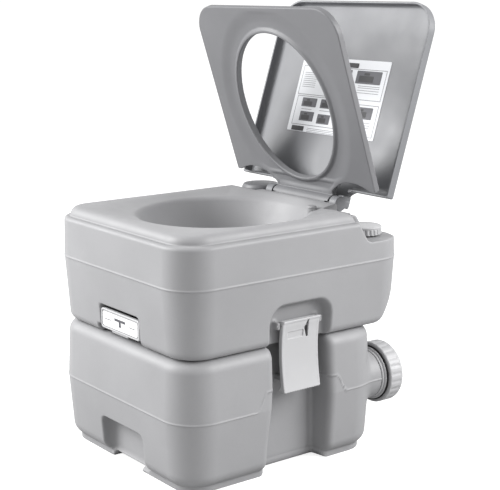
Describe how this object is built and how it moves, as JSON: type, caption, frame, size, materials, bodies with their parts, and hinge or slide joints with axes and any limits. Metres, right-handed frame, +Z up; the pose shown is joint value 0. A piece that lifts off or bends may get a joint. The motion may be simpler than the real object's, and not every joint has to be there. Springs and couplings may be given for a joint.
{
  "type": "portable camp toilet",
  "caption": "Portable camp toilet: a flush tank with bowl, hinged seat and lid, latched onto a waste tank with a slide valve, pump, fill cap and capped spout.",
  "frame": {"origin": "floor level, below the middle of the flush tank, on the underside of the plinth", "axes": "+Z up, front with the pull handle towards -Y, hinge and spout towards +Y"},
  "size_m": [0.3675, 0.4809, 0.6779],
  "materials": {
    "tank_grey": "fine satin moulded grey plastic",
    "cover_grey": "satin moulded grey plastic",
    "latch_grey": "satin light grey plastic",
    "cap_grey": "satin grey plastic",
    "dark_plastic": "matt dark plastic",
    "white_plastic": "smooth white plastic",
    "black_rubber": "matt rubber",
    "steel": "zinc plated",
    "sheet_paper": "coated label sheet",
    "red_plastic": "matt red plastic"
  },
  "bodies": {
    "tanks": {"upper_tank": "tank_grey", "deck": "tank_grey", "bowl": "tank_grey", "waste_tank": "tank_grey", "waste_base": "tank_grey", "valve_housing": "dark_plastic", "housing_screws": "steel", "bowl_seal": "black_rubber", "blade_seal": "black_rubber", "hinge_bracket": "cover_grey", "bracket_screws": "steel", "hinge_pins": "steel", "pump_body": "dark_plastic", "suction_tube": "white_plastic", "flush_pipe": "white_plastic", "flush_nozzle": "cover_grey", "latch_pins": "steel", "spout": "tank_grey", "spout_collar": "cap_grey", "spout_seal": "black_rubber", "vent_body": "dark_plastic"},
    "seat_ring": {"seat": "cover_grey"},
    "lid_panel": {"lid": "cover_grey", "instruction_sheet": "sheet_paper"},
    "valve_slide": {"valve_blade": "white_plastic", "pull_handle": "cover_grey", "handle_label": "white_plastic"},
    "pump_plunger": {"pump_knob": "cover_grey", "pump_piston": "white_plastic", "pump_bellows": "black_rubber"},
    "fill_cap_body": {"fill_cap": "cap_grey", "fill_cap_seal": "black_rubber"},
    "spout_cap_body": {"spout_cap": "cap_grey", "spout_cap_seal": "black_rubber"},
    "latch_right_body": {"latch_right": "latch_grey"},
    "latch_left_body": {"latch_left": "latch_grey"},
    "vent_plunger": {"vent_button": "red_plastic"}
  },
  "joints": [
    {"name": "lid_hinge", "type": "hinge", "parent": "tanks", "child": "lid_panel", "pos_m": [0, 0.152, 0.37], "axis": [1, 0, 0], "range_deg": [0, 108]},
    {"name": "seat_hinge", "type": "hinge", "parent": "tanks", "child": "seat_ring", "pos_m": [0, 0.152, 0.37], "axis": [1, 0, 0], "range_deg": [0, 72]},
    {"name": "valve_pull", "type": "slide", "parent": "tanks", "child": "valve_slide", "axis": [0, -1, 0], "range_m": [0, 0.112]},
    {"name": "pump_stroke", "type": "slide", "parent": "tanks", "child": "pump_plunger", "axis": [0, 0, -1], "range_m": [0, 0.015], "stiffness_N_per_m": 400, "springref_m": -0.006, "deforming": ["pump_bellows"]},
    {"name": "fill_cap_turn", "type": "hinge", "parent": "tanks", "child": "fill_cap_body", "pos_m": [0.13, 0.163, 0.335], "axis": [0, 0, 1], "continuous": true},
    {"name": "spout_cap_turn", "type": "hinge", "parent": "tanks", "child": "spout_cap_body", "pos_m": [0.137, 0.19, 0.106], "axis": [0, 1, 0], "continuous": true},
    {"name": "latch_right_swing", "type": "hinge", "parent": "tanks", "child": "latch_right_body", "pos_m": [0.171, 0, 0.224], "axis": [0, -1, 0], "range_deg": [0, 110]},
    {"name": "latch_left_swing", "type": "hinge", "parent": "tanks", "child": "latch_left_body", "pos_m": [-0.171, 0, 0.224], "axis": [0, 1, 0], "range_deg": [0, 110]},
    {"name": "vent_press", "type": "slide", "parent": "tanks", "child": "vent_plunger", "axis": [0, -1, 0], "range_m": [0, 0.0035], "stiffness_N_per_m": 500, "springref_m": -0.002}
  ],
  "couplings": [
    {"joint": "seat_hinge", "follows": "lid_hinge", "ratio": 0.66667}
  ]
}
